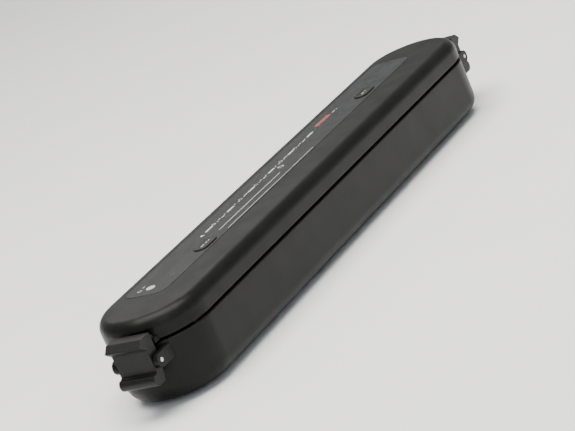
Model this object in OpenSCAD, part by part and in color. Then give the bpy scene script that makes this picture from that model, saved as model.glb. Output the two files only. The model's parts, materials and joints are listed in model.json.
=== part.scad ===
// Bar-shaped countertop bag sealer: a long round-ended housing whose lid opens at the back,
// with a vacuum trough and a heater strip under the lid and a sprung latch at each end.
// Millimetres. X runs along the bar, -Y is the front, +Z is up. The feet stand on z = 0.

/* [Housing] */
// Length of the housing without its end latches
body_length = 338; // [320:1:410]
// Depth of the housing, front to back
body_depth = 54; // [53:1:66]
// Height of the lower housing, up to the seam
base_height = 29; // [28.5:0.5:36]
// Height of the lid above the seam
lid_height = 11.3; // [11:0.1:14]
// Thickness of the moulded walls
wall = 2; // [1.7:0.1:2.4]
// Rounding along the bottom edge
bottom_round = 8; // [6:0.5:10]
// Rounding along the top edge
top_round = 6; // [4:0.5:7]
// Gap between the lid and the base at the seam
seam_gap = 1.2; // [0.8:0.1:1.6]
// Height of the rubber feet
foot_height = 2; // [1.5:0.1:4]
// Diameter of the rubber feet
foot_d = 10; // [8:0.5:12]
// Thickness of the bottom cover
cover_t = 2.2; // [2:0.1:3]
// Diameter of the screws
screw_d = 2.2; // [2:0.1:3]

/* [Sealing deck] */
// Distance from the front face to the middle of the heater
heater_inset = 10; // [9.5:0.5:12]
// Width of the heater bar
heater_width = 6.6; // [5.6:0.2:8]
// Width of the resistance strip
element_width = 2.6; // [1.6:0.2:4]
// Thickness of the resistance strip
element_t = 0.15; // [0.1:0.05:0.3]
// Thickness of the non-stick tape
tape_t = 0.2; // [0.1:0.05:0.4]
// Gap between the heater bar and the gasket
heater_gap = 3; // [2:0.5:4]
// Width of the foam gaskets
gasket_width = 5; // [4:0.5:6]
// Width of the vacuum trough
trough_width = 11; // [9:0.5:13]
// Depth of the vacuum trough
trough_depth = 3; // [2:0.5:3.5]
// Width of the deck between the trough and the gasket
trough_margin = 1.5; // [1:0.25:2.5]
// Thickness of the deck
deck_t = 2; // [1.6:0.1:2.4]
// Drop from the base's rim to the deck
rim_drop = 1.5; // [1:0.25:2]
// Thickness of the lid's inner plate
plate_t = 1.5; // [1.2:0.1:2]

/* [Hinge] */
// Distance from the back face to the hinge axis
hinge_inset = 5.5; // [5:0.25:7]
// Distance between the two hinges
hinge_spacing = 200; // [160:5:240]
// Radius of the hinge knuckles
knuckle_r = 3; // [2.6:0.1:3.4]
// Width of each lid knuckle
knuckle_width = 8; // [6:0.5:12]
// Diameter of the hinge pins
hinge_pin_d = 2; // [1.6:0.1:2.6]
// Slope of the valley behind the hinge, above and below the seam
valley_angle = 39; // [36:1:42]

/* [End latches] */
// Width of each latch lever
latch_width = 20; // [18:0.5:26]
// Shift of the latches towards the front
latch_shift = 4; // [3:0.5:6]
// How far the latch prongs stand out from the housing
latch_reach = 11; // [10:0.5:13]
// Height of the latch pivots below the base's rim
pivot_drop = 5; // [4.5:0.25:6]
// How far the hook reaches over the lid's catch
hook_bite = 1.6; // [1.2:0.1:1.8]
// Diameter of the latch pins
latch_pin_d = 2; // [1.6:0.1:2.4]
// Thickness of the ears that hold the latch pins
ear_t = 2.4; // [2:0.2:3.2]

/* [Control panel] */
// Length of the panel
panel_length = 278; // [250:1:284]
// Width of the panel
panel_width = 24; // [22:0.5:26]
// Thickness of the panel
panel_t = 0.9; // [0.8:0.1:1]
// Length of each push button
button_length = 15; // [12:0.5:18]
// Width of each push button
button_width = 8; // [6:0.5:9]
// Travel of the push buttons
button_travel = 0.8; // [0.5:0.1:0.9]
// Thickness of the circuit boards
board_t = 1.2; // [1:0.1:1.6]

/* [Pump] */
// Diameter of the pump motor
motor_d = 20; // [16:0.5:20.2]
// Length of the pump motor
motor_length = 32; // [26:1:38]
// Outer diameter of the air hose
hose_d = 5.6; // [4.6:0.2:6.4]
// Inner diameter of the air hose
hose_bore = 3.2; // [2.4:0.2:3.8]

/* [Mains inlet] */
// Length of the inlet's body along the housing
inlet_length = 20; // [19:0.5:24]
// Height of the inlet's body
inlet_height = 11.2; // [10.6:0.2:12]
// Depth of the inlet's body
inlet_depth = 15; // [14:0.5:17]
// Distance between the two contact pins
contact_pitch = 8.6; // [8:0.1:9]
// Diameter of the contact pins
contact_d = 2.4; // [2:0.1:2.6]

/* [Clearances] */
// Radial clearance of a moving part on its pin
running_fit = 0.05; // [0.03:0.01:0.08]
// Radial clearance of a pin or screw held in its hole
held_fit = 0.01; // [0.01:0.01:0.02]
// Gap around an inset piece
inset_gap = 0.2; // [0.1:0.05:0.3]
// Gap beside a part that moves
moving_gap = 0.35; // [0.3:0.05:0.5]

/* [Hidden] */
$fn = 48;
big = 1000;

// Housing heights and outline
half_d = body_depth / 2;
end_x = body_length / 2 - half_d;
tip_x = body_length / 2;
base_z0 = foot_height;
base_z1 = base_z0 + base_height;
lid_z0 = base_z1 + seam_gap;
lid_z1 = lid_z0 + lid_height;
cavity_half = half_d - wall;
ledge = 1.2;
inner_half = cavity_half - ledge;
inner_round = bottom_round - wall - 1;
edge_round = 0.7;
cover_z1 = base_z0 + cover_t;
flange_t = 1.6;
floor_z = cover_z1 + flange_t;
cover_half = half_d - bottom_round;
opening_half = cover_half - 2;
roof_z = lid_z1 - wall;

// Deck and sealing line
deck_z1 = base_z1 - rim_drop;
deck_z0 = deck_z1 - deck_t;
trough_z = deck_z1 - trough_depth;
trough_floor_t = 1.5;
trough_under = trough_z - trough_floor_t;
plate_drop = 1.8;
plate_z0 = lid_z0 + plate_drop;
plate_z1 = plate_z0 + plate_t;
heater_y = -half_d + heater_inset;
trough_r = trough_width / 2;
gasket_in = trough_r + trough_margin;
gasket_out = gasket_in + gasket_width;
chamber_y = heater_y + heater_width / 2 + heater_gap + gasket_out;
seal_x = end_x - 6;
heater_half = end_x + 4;
lead_inset = 3;
groove_depth = 0.8;
gasket_mid = (deck_z1 + plate_z0) / 2 + 0.85;
gasket_split = 0.2;
heater_z0 = deck_z1 - 0.6;
heater_z1 = deck_z1 + 1.7;
tape_z1 = heater_z1 + element_t + tape_t;
press_width = heater_width - 0.6;
press_gap = 0.4;

// Hinge at the back
hinge_y = half_d - hinge_inset;
hinge_z = (base_z1 + lid_z0) / 2;
hinge_x = hinge_spacing / 2;
ear_width = 5;
hinge_half = knuckle_width / 2 + moving_gap + ear_width;
notch_half = hinge_half + 0.6;
notch_y = hinge_y - knuckle_r - 0.6;

// Latches
latch_y = -latch_shift;
pivot_x = tip_x + 3.8;
pivot_z = base_z1 - pivot_drop;
latch_back = tip_x + 1.2;
latch_front = tip_x + latch_reach - 3.8;
prong_x = tip_x + latch_reach;
latch_bottom = pivot_z - 10;
latch_top = lid_z0 + 6.3;
catch_x = tip_x - 0.1;
catch_z1 = lid_z0 + 2.4;
hook_z0 = catch_z1 + 0.3;
hook_z1 = hook_z0 + 2;
hook_tip = catch_x - hook_bite;
hook_y0 = latch_y - latch_width / 2 + 1;
hook_y1 = latch_y + 1;
ear_r = 3.4;
spring_gap = 4;
coil_wire = 0.6;
coil_r = latch_pin_d / 2 + 0.15 + coil_wire / 2;

// Control panel, centred behind the middle of the lid
panel_y = hinge_y - panel_width / 2 - 2.5;
panel_z = lid_z1 - panel_t;
panel_round = 6;
left_button = [-89, panel_y - 6];
right_button = [91, panel_y - 5];
board_z0 = plate_z1 + 0.8;
board_z1 = board_z0 + board_t;
switch_h = 1.5;
plunger_h = 0.3;
button_bottom = board_z1 + switch_h + plunger_h + button_travel + 0.1;
button_top = lid_z1 + 0.5;
flange_h = 0.6;
guide_row_y = panel_y + 3;
guide_size = [7, 1.4];
guide_first = -70;
guide_step = 22;
guide_count = 6;
red_lens = [59, panel_y + 5];
red_lens_size = [16, 3.4];
status_lens = [-131, panel_y];
status_lens_r = 2.3;

// Things inside the base
post_r = 3;
post_spots = [
    [-130, -11], [-130, 11], [130, -11], [130, 11], [0, -12.5], [0, 12.5]
];
foot_spots = [[-146, -8], [-146, 8], [146, -8], [146, 8]];
screw_head_r = screw_d;
screw_head_h = 1.2;
screw_length = 9;
plate_screw_spots = [[-156, 3], [156, 3], [-60, hinge_y - 3], [60, hinge_y - 3]];
plate_boss_r = 2.6;
motor_x = 18;
pump_y = chamber_y;
motor_z = cover_z1 + 0.3 + motor_d / 2;
head_length = 20;
head_x = motor_x + motor_length;
barb_r = hose_bore / 2;
barb_z = motor_z - 1.5;
nozzle_x = head_x + head_length + 28;
bend_r = 8;
valve_x = nozzle_x + 16;
vacuum_switch_x = -20;
board_x0 = -122;
board_x1 = -40;
board_y0 = -17;
board_y1 = 6;
supply_z = floor_z + 1.7;
inlet_x = -105;
inlet_z = base_z0 + 12.5;
contact_floor = 3.5;
lid_switch_x = 30;
lid_switch_y = hinge_y - 4;
harness_x = 78;
harness_y = hinge_y - 4.5;
wire_r = 0.8;

// Extrudes a Y-Z section along X, centred
module along_x(length) {
    rotate([90, 0, 90])
        translate([0, 0, -length / 2])
            linear_extrude(length)
                children();
}

// Extrudes an X-Z outline from y0 to y1
module along_y(y0, y1) {
    translate([0, y1, 0])
        rotate([90, 0, 0])
            linear_extrude(y1 - y0)
                children();
}

// A cylinder along X between x0 and x1
module rod_x(r, x0, x1, y, z) {
    translate([x0, y, z])
        rotate([0, 90, 0])
            cylinder(r = r, h = x1 - x0);
}

// A cylinder along Y between y0 and y1
module rod_y(r, y0, y1, x, z) {
    translate([x, y1, z])
        rotate([90, 0, 0])
            cylinder(r = r, h = y1 - y0);
}

// A box given by its two corners
module block(low, high) {
    translate(low)
        cube(high - low);
}

// Sweeps a section that is symmetric about its middle into a straight bar with round ends
module round_ended(straight) {
    along_x(2 * straight)
        children();
    for (side = [-1, 1])
        translate([side * straight, 0, 0])
            rotate([0, 0, -side * 90])
                rotate_extrude(angle = 180)
                    intersection() {
                        children();
                        translate([0, -big / 2])
                            square([big, big]);
                    }
}

// A section from z0 to z1 with round lower and upper corners
module section(half, z0, z1, r_low, r_high) {
    translate([-half, z0 + r_low])
        square([2 * half, z1 - r_high - z0 - r_low]);
    if (r_low > 0) {
        translate([-half + r_low, z0])
            square([2 * (half - r_low), r_low * 2]);
        for (side = [-1, 1])
            translate([side * (half - r_low), z0 + r_low])
                circle(r = r_low);
    }
    if (r_high > 0) {
        translate([-half + r_high, z1 - 2 * r_high])
            square([2 * (half - r_high), 2 * r_high]);
        for (side = [-1, 1])
            translate([side * (half - r_high), z1 - r_high])
                circle(r = r_high);
    }
}

// A flat outline with two straight sides and round ends
module stadium(straight, r) {
    square([2 * straight, 2 * r], center = true);
    for (side = [-1, 1])
        translate([side * straight, 0])
            circle(r = r);
}

// A slab with round ends, its middle line at y
module slab(straight, r, z0, z1, y = 0) {
    translate([0, y, z0])
        linear_extrude(z1 - z0)
            stadium(straight, r);
}

// A flat ring with round ends
module ring(straight, r_in, r_out, z0, z1, y) {
    translate([0, y, z0])
        linear_extrude(z1 - z0)
            difference() {
                stadium(straight, r_out);
                stadium(straight, r_in);
            }
}

// A rectangle with round corners, centred
module rounded_plate(size, r, z0, z1) {
    translate([0, 0, z0])
        linear_extrude(z1 - z0) {
            square([size[0] - 2 * r, size[1]], center = true);
            square([size[0], size[1] - 2 * r], center = true);
            for (sx = [-1, 1], sy = [-1, 1])
                translate([sx * (size[0] / 2 - r), sy * (size[1] / 2 - r)])
                    circle(r = r);
        }
}

// The V-shaped valley behind the hinge axis, which lets the lid swing back
module valley() {
    reach = 2 * hinge_inset;
    rise = reach * tan(valley_angle);
    along_x(body_length + 10)
        polygon([
            [hinge_y, hinge_z],
            [hinge_y + reach, hinge_z - rise],
            [hinge_y + reach, hinge_z + rise]
        ]);
}

// The room that a hinge needs in a plate beside it
module hinge_notches(z0, z1) {
    for (side = [-1, 1])
        block(
            [side * hinge_x - notch_half, notch_y, z0],
            [side * hinge_x + notch_half, half_d, z1]
        );
}

// The two base knuckles of each hinge, with the webs that carry them
module base_knuckles() {
    inner = knuckle_width / 2 + moving_gap;
    for (side = [-1, 1], hand = [0, 1]) {
        x0 = side * hinge_x + (hand == 0 ? inner : -hinge_half);
        rod_x(knuckle_r, x0, x0 + ear_width, hinge_y, hinge_z);
        difference() {
            block(
                [x0, hinge_y - knuckle_r, deck_z0 - 5],
                [x0 + ear_width, cavity_half + wall / 2, hinge_z]
            );
            valley();
        }
    }
}

// Bores for the hinge pins
module hinge_bores(fit) {
    for (side = [-1, 1])
        rod_x(
            hinge_pin_d / 2 + fit,
            side * hinge_x - hinge_half - 1, side * hinge_x + hinge_half + 1,
            hinge_y, hinge_z
        );
}

// The pair of ears that holds a latch pin, outside one end of the base
module latch_ears(side) {
    inner = latch_width / 2 + moving_gap;
    for (hand = [-1, 1]) {
        y_mid = latch_y + hand * (inner + ear_t / 2);
        along_y(y_mid - ear_t / 2, y_mid + ear_t / 2) {
            translate([side * pivot_x, pivot_z])
                circle(r = ear_r);
            translate([side > 0 ? end_x : -pivot_x, pivot_z - ear_r])
                square([pivot_x - end_x, 2 * ear_r]);
        }
    }
}

// The inside of the base: a step carries the deck, and the bottom is open for the cover
module base_cavity() {
    round_ended(end_x) {
        section(inner_half, floor_z, deck_z0 + 1, inner_round, 0);
        translate([-cavity_half, deck_z0])
            square([2 * cavity_half, base_z1 - deck_z0 + 1]);
    }
    slab(end_x, opening_half, base_z0 - 1, floor_z + 1);
    slab(end_x, cover_half, base_z0 - 1, cover_z1);
}

module base_shell() {
    latch_half = latch_width / 2 + moving_gap + ear_t;
    color("#2b2d2c")
        difference() {
            union() {
                difference() {
                    union() {
                        round_ended(end_x)
                            section(half_d, base_z0, base_z1, bottom_round, edge_round);
                        for (side = [-1, 1])
                            latch_ears(side);
                    }
                    base_cavity();
                    valley();
                }
                base_knuckles();
            }
            hinge_bores(held_fit);
            for (side = [-1, 1])
                rod_y(
                    latch_pin_d / 2 + held_fit,
                    latch_y - latch_half - 1, latch_y + latch_half + 1,
                    side * pivot_x, pivot_z
                );
            block(
                [
                    inlet_x - inlet_length / 2 - inset_gap / 2,
                    inner_half - 1,
                    inlet_z - inlet_height / 2 - inset_gap / 2
                ],
                [
                    inlet_x + inlet_length / 2 + inset_gap / 2,
                    half_d + 1,
                    inlet_z + inlet_height / 2 + inset_gap / 2
                ]
            );
        }
}

module bottom_cover() {
    color("#242625")
        difference() {
            slab(end_x, cover_half - inset_gap, base_z0, cover_z1);
            for (spot = post_spots)
                translate([spot[0], spot[1], base_z0 - 1]) {
                    cylinder(r = screw_d / 2 + inset_gap, h = cover_t + 2);
                    cylinder(r = screw_head_r + inset_gap, h = screw_head_h + 1.1);
                }
            for (spot = foot_spots)
                translate([spot[0], spot[1], base_z0 - 1])
                    cylinder(r = foot_d / 4 + held_fit, h = cover_t + 2);
        }
}

// The deck with its trough, gasket groove, heater seat and screw posts
module sealing_deck() {
    color("#3a3d3c")
        difference() {
            union() {
                slab(end_x, cavity_half - inset_gap, deck_z0, deck_z1);
                slab(seal_x, trough_r + trough_floor_t, trough_under, deck_z1, chamber_y);
                for (spot = post_spots)
                    translate([spot[0], spot[1], cover_z1])
                        cylinder(r = post_r, h = deck_z0 + 0.5 - cover_z1);
            }
            slab(seal_x, trough_r, trough_z, deck_z1 + 1, chamber_y);
            ring(seal_x, gasket_in, gasket_out, deck_z1 - groove_depth, deck_z1 + 1, chamber_y);
            block(
                [-heater_half, heater_y - heater_width / 2, heater_z0],
                [heater_half, heater_y + heater_width / 2, deck_z1 + 1]
            );
            for (side = [-1, 1])
                translate([side * (heater_half - lead_inset), heater_y, deck_z0 - 1])
                    cylinder(r = wire_r + inset_gap, h = deck_t + 2);
            for (spot = post_spots)
                translate([spot[0], spot[1], cover_z1 - 1])
                    cylinder(r = screw_d / 2 + held_fit, h = screw_length + 1);
            for (x = [nozzle_x, valve_x, vacuum_switch_x])
                translate([x, chamber_y, trough_under - 1])
                    cylinder(r = barb_r + held_fit, h = trough_floor_t + 2);
            translate([lid_switch_x, lid_switch_y, deck_z0 - 1])
                cylinder(r = 1.5, h = deck_t + 2);
            translate([harness_x, harness_y, deck_z0 - 1])
                block([-5, -1, 0], [5, 1, deck_t + 2]);
            hinge_notches(deck_z0 - 1, deck_z1 + 1);
            valley();
        }
}

module lower_gasket() {
    color("#50534f")
        ring(seal_x, gasket_in, gasket_out, deck_z1 - groove_depth, gasket_mid - gasket_split / 2, chamber_y);
}

module heater_bar() {
    color("#c9b08a")
        difference() {
            block(
                [-heater_half + inset_gap, heater_y - heater_width / 2 + inset_gap, heater_z0],
                [heater_half - inset_gap, heater_y + heater_width / 2 - inset_gap, heater_z1]
            );
            for (side = [-1, 1])
                translate([side * (heater_half - lead_inset), heater_y, heater_z0 - 1])
                    cylinder(r = wire_r + inset_gap, h = big / 10);
        }
}

// The flat resistance strip, with a spring clip at each end
module heater_element() {
    color("#b9bcbd") {
        block(
            [-heater_half + 5, heater_y - element_width / 2, heater_z1],
            [heater_half - 5, heater_y + element_width / 2, heater_z1 + element_t]
        );
        for (side = [-1, 1])
            translate([side * (heater_half - 4.5), heater_y, 0])
                difference() {
                    block([-3.5, -1.8, heater_z1], [3.5, 1.8, heater_z1 + element_t + 0.1]);
                    translate([side * 1.5, 0, heater_z1 - 1])
                        cylinder(r = wire_r + inset_gap, h = 3);
                }
    }
}

// The tape over the strip, folded down both sides of the bar
module heater_tape() {
    outer = heater_width / 2 - inset_gap + tape_t;
    color("#a9a28c")
        difference() {
            block(
                [-heater_half + 9, heater_y - outer, deck_z1 + 0.1],
                [heater_half - 9, heater_y + outer, tape_z1]
            );
            block(
                [-heater_half, heater_y - outer + tape_t, deck_z1 - 1],
                [heater_half, heater_y + outer - tape_t, heater_z1 + element_t]
            );
        }
}

module power_board() {
    z1 = supply_z + board_t;
    color("#2f6b46") {
        difference() {
            block([board_x0, board_y0, supply_z], [board_x1, board_y1, z1]);
            for (spot = post_spots)
                translate([spot[0], spot[1], supply_z - 1])
                    cylinder(r = post_r + inset_gap, h = 4);
        }
        // Terminal block, relay, choke, heat sink and support pillars
        block([board_x0 + 2, board_y0 + 2, z1], [board_x0 + 12, board_y0 + 10, z1 + 8]);
        block([board_x0 + 54, board_y0 + 2, z1], [board_x0 + 73, board_y0 + 12, z1 + 12]);
        translate([board_x0 + 64, board_y0 + 18, z1])
            cylinder(r = 4.5, h = 7);
        for (i = [0 : 3])
            block(
                [board_x0 + 20 + 3 * i, board_y0 + 1.5, z1],
                [board_x0 + 21.2 + 3 * i, board_y0 + 7, z1 + 11]
            );
        block([board_x0 + 19, board_y0 + 1, z1], [board_x0 + 31.2, board_y0 + 2.2, z1 + 11]);
        for (x = [board_x0 + 4, board_x1 - 4], y = [board_y0 + 4, board_y1 - 4])
            translate([x, y, cover_z1])
                cylinder(r = 2, h = supply_z - cover_z1);
    }
}

module transformer() {
    z1 = supply_z + board_t;
    color("#c8a13a")
        translate([board_x0 + 43, board_y0 + 12, z1]) {
            block([-8, -7, 0], [8, 7, 2]);
            block([-6.5, -5.5, 2], [6.5, 5.5, 11]);
            block([-8, -3, 2], [8, 3, 13]);
            block([-8, -7, 11], [8, 7, 13]);
        }
}

module capacitor() {
    z1 = supply_z + board_t;
    r = 5;
    color("#23324f")
        rod_x(r, board_x0 + 15, board_x0 + 31, board_y0 + 15, z1 + r);
}

// A two-pin appliance inlet set into the back wall
module mains_inlet() {
    face = half_d;
    recess_floor = face - inlet_depth + contact_floor;
    recess_r = 3.9;
    color("#1c1d1d")
        difference() {
            block(
                [inlet_x - inlet_length / 2, face - inlet_depth, inlet_z - inlet_height / 2],
                [inlet_x + inlet_length / 2, face, inlet_z + inlet_height / 2]
            );
            for (side = [-1, 1])
                rod_y(recess_r, recess_floor, face + 1, inlet_x + side * contact_pitch / 2, inlet_z);
            block(
                [inlet_x - contact_pitch / 2, recess_floor, inlet_z - recess_r + 0.6],
                [inlet_x + contact_pitch / 2, face + 1, inlet_z + recess_r - 0.6]
            );
            for (side = [-1, 1])
                rod_y(
                    contact_d / 2 - 0.2 + held_fit, face - inlet_depth - 1, face,
                    inlet_x + side * contact_pitch / 2, inlet_z
                );
        }
}

// The two contact pins, each with a thinner tail through the inlet's body
module inlet_contacts() {
    recess_floor = half_d - inlet_depth + contact_floor;
    color("#b8b4a4")
        for (side = [-1, 1]) {
            x = inlet_x + side * contact_pitch / 2;
            rod_y(contact_d / 2, recess_floor, half_d - 1.5, x, inlet_z);
            rod_y(contact_d / 2 - 0.2, half_d - inlet_depth - 3, recess_floor + 0.5, x, inlet_z);
        }
}

// A small direct-current motor with its end boss and terminals
module pump_motor() {
    color("#a7abad") {
        rod_x(motor_d / 2, motor_x, head_x, pump_y, motor_z);
        rod_x(motor_d / 5, motor_x - 1.8, motor_x, pump_y, motor_z);
        for (side = [-1, 1])
            block(
                [motor_x - 4, pump_y + side * motor_d / 3 - 1, motor_z - 0.3],
                [motor_x, pump_y + side * motor_d / 3 + 1, motor_z + 0.3]
            );
    }
}

// The diaphragm head on the motor, with its hose barb
module pump_head() {
    half = motor_d / 2;
    cap_x = head_x + head_length - 4;
    color("#e6e6e0") {
        block(
            [head_x, pump_y - half, motor_z - half],
            [cap_x, pump_y + half, motor_z + half - 0.4]
        );
        rod_x(half - 0.4, cap_x, head_x + head_length, pump_y, motor_z);
        difference() {
            rod_x(barb_r, head_x + head_length, head_x + head_length + 7, pump_y, barb_z);
            rod_x(barb_r / 2, head_x + head_length + 1, head_x + head_length + 8, pump_y, barb_z);
        }
        for (sy = [-1, 1], sz = [-1, 1])
            rod_x(1.2, cap_x, cap_x + 1, pump_y + sy * (half - 1.8), motor_z + sz * (half - 2.2));
    }
}

// The hose from the pump to the nozzle under the trough
module air_hose() {
    start_x = head_x + head_length + 0.5;
    end_z = trough_under - 0.5;
    rise_z = barb_z + bend_r;
    color("#d8dcd8") {
        difference() {
            rod_x(hose_d / 2, start_x, nozzle_x - bend_r, pump_y, barb_z);
            rod_x(barb_r + held_fit, start_x - 1, nozzle_x - bend_r + 1, pump_y, barb_z);
        }
        translate([nozzle_x - bend_r, pump_y, rise_z])
            rotate([90, 0, 0])
                rotate([0, 0, -90])
                    rotate_extrude(angle = 90)
                        translate([bend_r, 0])
                            difference() {
                                circle(r = hose_d / 2);
                                circle(r = barb_r + held_fit);
                            }
        translate([nozzle_x, pump_y, rise_z])
            difference() {
                cylinder(r = hose_d / 2, h = end_z - rise_z);
                translate([0, 0, -1])
                    cylinder(r = barb_r + held_fit, h = end_z - rise_z + 2);
            }
    }
}

// The pipe stub from the hose into the trough's floor, with a mouth ring
module suction_nozzle() {
    color("#3a3d3c")
        translate([nozzle_x, chamber_y, 0])
            difference() {
                union() {
                    translate([0, 0, trough_under - 3])
                        cylinder(r = barb_r, h = trough_z - trough_under + 3);
                    translate([0, 0, trough_z])
                        cylinder(r = barb_r + 1, h = 0.8);
                }
                translate([0, 0, trough_under - 4])
                    cylinder(r = barb_r - 0.6, h = trough_z - trough_under + 6);
            }
}

// A solenoid valve that lets air back into the trough
module release_valve() {
    top = trough_under;
    color("#8d9194")
        translate([valve_x, chamber_y, 0])
            difference() {
                union() {
                    translate([0, 0, top - 11])
                        cylinder(r = 5, h = 8);
                    block([-7, -6, top - 12], [7, 6, top - 11]);
                    block([-7, -6, top - 3], [7, 6, top - 2]);
                    block([-7, -6, top - 12], [-6, 6, top - 2]);
                    translate([0, 0, top - 2])
                        cylinder(r = 2.6, h = 2);
                    translate([0, 0, top - 2])
                        cylinder(r = barb_r, h = trough_z - top + 2);
                }
                translate([0, 0, top - 1])
                    cylinder(r = barb_r - 0.6, h = trough_floor_t + 2);
            }
}

// The round pressure switch that tells the board when the bag is empty of air
module vacuum_switch() {
    color("#d9d2b0")
        translate([vacuum_switch_x, chamber_y, 0])
            difference() {
                union() {
                    translate([0, 0, trough_under - 8])
                        cylinder(r = 6.5, h = 5);
                    translate([0, 0, trough_under - 3])
                        cylinder(r = 3, h = 3);
                    translate([0, 0, trough_under - 1])
                        cylinder(r = barb_r, h = trough_floor_t + 1);
                    for (side = [-1, 1])
                        block(
                            [side * 3 - 0.3, -1.5, trough_under - 12],
                            [side * 3 + 0.3, 1.5, trough_under - 8]
                        );
                }
                translate([0, 0, trough_under - 2])
                    cylinder(r = barb_r - 0.6, h = trough_floor_t + 3);
            }
}

// The switch under the deck that the closed lid's peg presses
module lid_switch() {
    color("#1e2a38")
        translate([lid_switch_x, lid_switch_y, 0]) {
            block([-6.4, -2.9, deck_z0 - 6.5], [6.4, 2.9, deck_z0]);
            translate([0, 0, deck_z0 - 1])
                cylinder(r = 1.2, h = deck_t + 2.2);
            for (x = [-5, 0, 5])
                block([x - 0.3, -1.4, deck_z0 - 10], [x + 0.3, 1.4, deck_z0 - 6.5]);
        }
}

// One insulated wire run from each end of the strip to the power board
module heater_leads() {
    run_z = floor_z + 6;
    end_wire_x = heater_half - lead_inset;
    color("#b33a32")
        for (side = [-1, 1]) {
            x = side * end_wire_x;
            start_x = side < 0 ? board_x0 + 5 : board_x1 + 1.5;
            translate([x, heater_y, run_z])
                cylinder(r = wire_r, h = heater_z1 - run_z);
            translate([x, heater_y, run_z])
                sphere(r = wire_r);
            rod_x(
                wire_r, min(x, start_x), max(x, start_x),
                heater_y, run_z
            );
            translate([start_x, heater_y, run_z])
                sphere(r = wire_r);
        }
}

module hinge_pins() {
    color("#c3c6c8")
        for (side = [-1, 1])
            rod_x(
                hinge_pin_d / 2,
                side * hinge_x - hinge_half, side * hinge_x + hinge_half,
                hinge_y, hinge_z
            );
}

module latch_pins() {
    half = latch_width / 2 + moving_gap + ear_t;
    color("#c3c6c8")
        for (side = [-1, 1])
            rod_y(latch_pin_d / 2, latch_y - half, latch_y + half, side * pivot_x, pivot_z);
}

// A torsion spring round each latch pin: close turns and a short leg down the housing
module latch_springs() {
    turns = 5;
    pitch = coil_wire * 1.1;
    color("#9ea2a5")
        for (side = [-1, 1])
            translate([side * pivot_x, latch_y, pivot_z]) {
                for (i = [0 : turns - 1])
                    translate([0, (i - (turns - 1) / 2) * pitch, 0])
                        rotate([90, 0, 0])
                            rotate_extrude()
                                translate([coil_r, 0])
                                    circle(r = coil_wire / 2);
                rotate([90, 0, 0])
                    translate([0, 0, -turns * pitch / 2])
                        difference() {
                            cylinder(r = coil_r, h = turns * pitch);
                            translate([0, 0, -1])
                                cylinder(r = coil_r - 0.15, h = turns * pitch + 2);
                        }
                translate([-side * coil_r, 0, -4.5])
                    cylinder(r = coil_wire / 2, h = 4.5);
            }
}

// Pan-head screws that stand head down, from the seat of their heads up
module screw_up(length) {
    translate([0, 0, -screw_head_h])
        difference() {
            cylinder(r = screw_head_r, h = screw_head_h);
            for (turn = [0, 90])
                rotate([0, 0, turn])
                    block([-1.4, -0.3, -1], [1.4, 0.3, 0.5]);
        }
    cylinder(r = screw_d / 2, h = length);
}

module bottom_screws() {
    color("#6f7375")
        for (spot = post_spots)
            translate([spot[0], spot[1], base_z0 + screw_head_h + 0.1])
                screw_up(screw_length);
}

module rubber_feet() {
    color("#171817")
        for (spot = foot_spots)
            translate([spot[0], spot[1], 0]) {
                translate([0, 0, 0.6])
                    cylinder(r = foot_d / 2, h = foot_height - 0.6);
                cylinder(r1 = foot_d / 2 - 0.6, r2 = foot_d / 2, h = 0.6);
                translate([0, 0, foot_height])
                    cylinder(r = foot_d / 4, h = cover_t);
            }
}

// Where a push button stands, as a rounded outline from z0 to z1
module button_prism(spot, grow, z0, z1) {
    translate([spot[0], spot[1], z0])
        linear_extrude(z1 - z0)
            stadium((button_length - button_width) / 2, button_width / 2 + grow);
}

module guide_prisms(grow, z0, z1) {
    for (i = [0 : guide_count - 1])
        translate([guide_first + i * guide_step, guide_row_y, z0])
            linear_extrude(z1 - z0)
                stadium(
                    (guide_size[0] - guide_size[1]) / 2,
                    guide_size[1] / 2 + grow
                );
}

module red_prism(grow, z0, z1) {
    translate([red_lens[0], red_lens[1], z0])
        linear_extrude(z1 - z0)
            stadium((red_lens_size[0] - red_lens_size[1]) / 2, red_lens_size[1] / 2 + grow);
}

module status_prism(grow, z0, z1) {
    translate([status_lens[0], status_lens[1], z0])
        cylinder(r = status_lens_r + grow, h = z1 - z0);
}

// Every opening through the panel and the roof of the lid
module panel_openings(z0, z1) {
    for (spot = [left_button, right_button])
        button_prism(spot, inset_gap, z0, z1);
    guide_prisms(held_fit, z0, z1);
    red_prism(held_fit, z0, z1);
    status_prism(held_fit, z0, z1);
}

module lid_knuckles() {
    for (side = [-1, 1]) {
        x0 = side * hinge_x - knuckle_width / 2;
        rod_x(knuckle_r, x0, x0 + knuckle_width, hinge_y, hinge_z);
        difference() {
            block(
                [x0, hinge_y - knuckle_r, hinge_z],
                [x0 + knuckle_width, cavity_half + wall / 2, plate_z1 + 3]
            );
            valley();
        }
    }
}

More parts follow.
